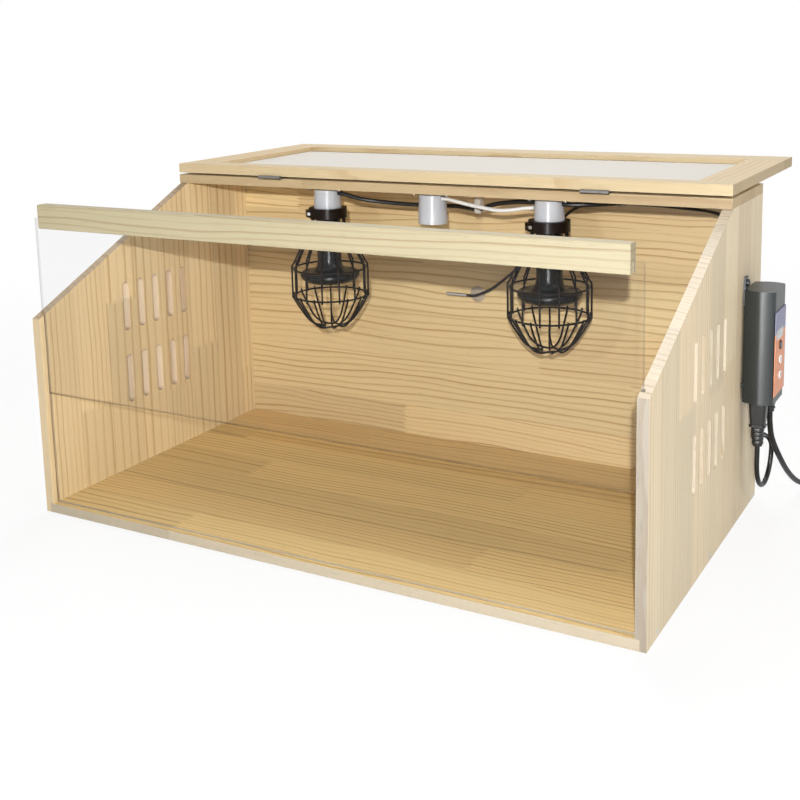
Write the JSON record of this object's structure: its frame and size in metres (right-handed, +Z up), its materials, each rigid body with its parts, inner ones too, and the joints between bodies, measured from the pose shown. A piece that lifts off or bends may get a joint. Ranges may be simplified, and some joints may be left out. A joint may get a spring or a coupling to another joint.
{
  "type": "chick brooder box",
  "caption": "Open-fronted pine brooder box with a raised clear sliding window, folded-back top flap, hanging lamp holders with caged heat emitters, vent slots and a side thermostat on a lead",
  "frame": {"origin": "middle of the floor's underside, on the ground", "axes": "+Z up, the window faces -Y, +X is the thermostat side"},
  "size_m": [1.058, 0.622, 0.422],
  "materials": {
    "wood": "planed pine, unfinished",
    "steel": "plain",
    "opal_panel": "smooth",
    "brass": "lacquered",
    "rubber": "matte",
    "clear_sheet": "clear, polished",
    "white_ceramic": "glazed",
    "black_wire": "black coated",
    "black_ceramic": "matte",
    "black_cord": "satin",
    "white_cord": "satin",
    "clear_plastic": "clear",
    "case_plastic": "fine satin",
    "black_plastic": "satin",
    "label_blue": "printed film",
    "display_grey": "liquid crystal window",
    "keypad_orange": "printed film",
    "button_dark": "satin",
    "button_pale": "satin"
  },
  "bodies": {
    "cabinet": {"side_left": "wood", "side_right": "wood", "back_panel": "wood", "floor_panel": "wood", "top_board": "wood", "side_screws": "steel", "hinge_base_left": "brass", "hinge_base_right": "brass", "hinge_pin_left": "steel", "hinge_pin_right": "steel", "hinge_screws_base": "brass", "bumpers": "rubber", "holder_plates": "steel", "plate_screws": "steel", "holder_left": "white_ceramic", "holder_mid": "white_ceramic", "holder_right": "white_ceramic", "socket_contact": "brass", "collar_left": "black_wire", "collar_right": "black_wire", "collar_screws": "steel", "cage_left": "black_wire", "cage_right": "black_wire", "emitter_left": "black_ceramic", "emitter_right": "black_ceramic", "lead_lamps": "black_cord", "lead_white": "white_cord", "lead_riser": "black_cord", "lead_clips": "clear_plastic", "grommet": "rubber", "probe_rod": "steel", "probe_cup": "clear_plastic", "probe_lead": "black_cord", "case": "case_plastic", "face_label": "label_blue", "display": "display_grey", "keypad": "keypad_orange", "hanger": "case_plastic", "lamp_plug": "black_plastic", "mains_gland": "black_plastic", "lamp_loop": "black_cord", "mains_lead": "black_cord", "mains_coil": "black_cord", "coil_tie": "white_cord", "mains_plug": "black_plastic", "plug_pins": "steel"},
    "flap": {"flap_near_rail": "wood", "flap_far_rail": "wood", "flap_left_rail": "wood", "flap_right_rail": "wood", "flap_panel": "opal_panel", "hinge_flap_left": "brass", "hinge_flap_right": "brass", "hinge_screws_flap": "brass"},
    "window": {"window_sheet": "clear_sheet", "window_bar": "wood"},
    "top_button": {"button_top": "button_dark"},
    "middle_button": {"button_middle": "button_pale"},
    "low_button": {"button_low": "button_pale"}
  },
  "joints": [
    {"name": "flap_hinge", "type": "hinge", "parent": "cabinet", "child": "flap", "pos_m": [0, 0.0708, 0.4075], "axis": [1, 0, 0], "range_deg": [0, 177]},
    {"name": "window_slide", "type": "slide", "parent": "cabinet", "child": "window", "axis": [0, 0, 1], "range_m": [-0.148, 0]},
    {"name": "top_button_press", "type": "slide", "parent": "cabinet", "child": "top_button", "axis": [-1, 0, 0], "range_m": [0, 0.001], "stiffness_N_per_m": 1500},
    {"name": "middle_button_press", "type": "slide", "parent": "cabinet", "child": "middle_button", "axis": [-1, 0, 0], "range_m": [0, 0.001], "stiffness_N_per_m": 1500},
    {"name": "low_button_press", "type": "slide", "parent": "cabinet", "child": "low_button", "axis": [-1, 0, 0], "range_m": [0, 0.001], "stiffness_N_per_m": 1500}
  ]
}
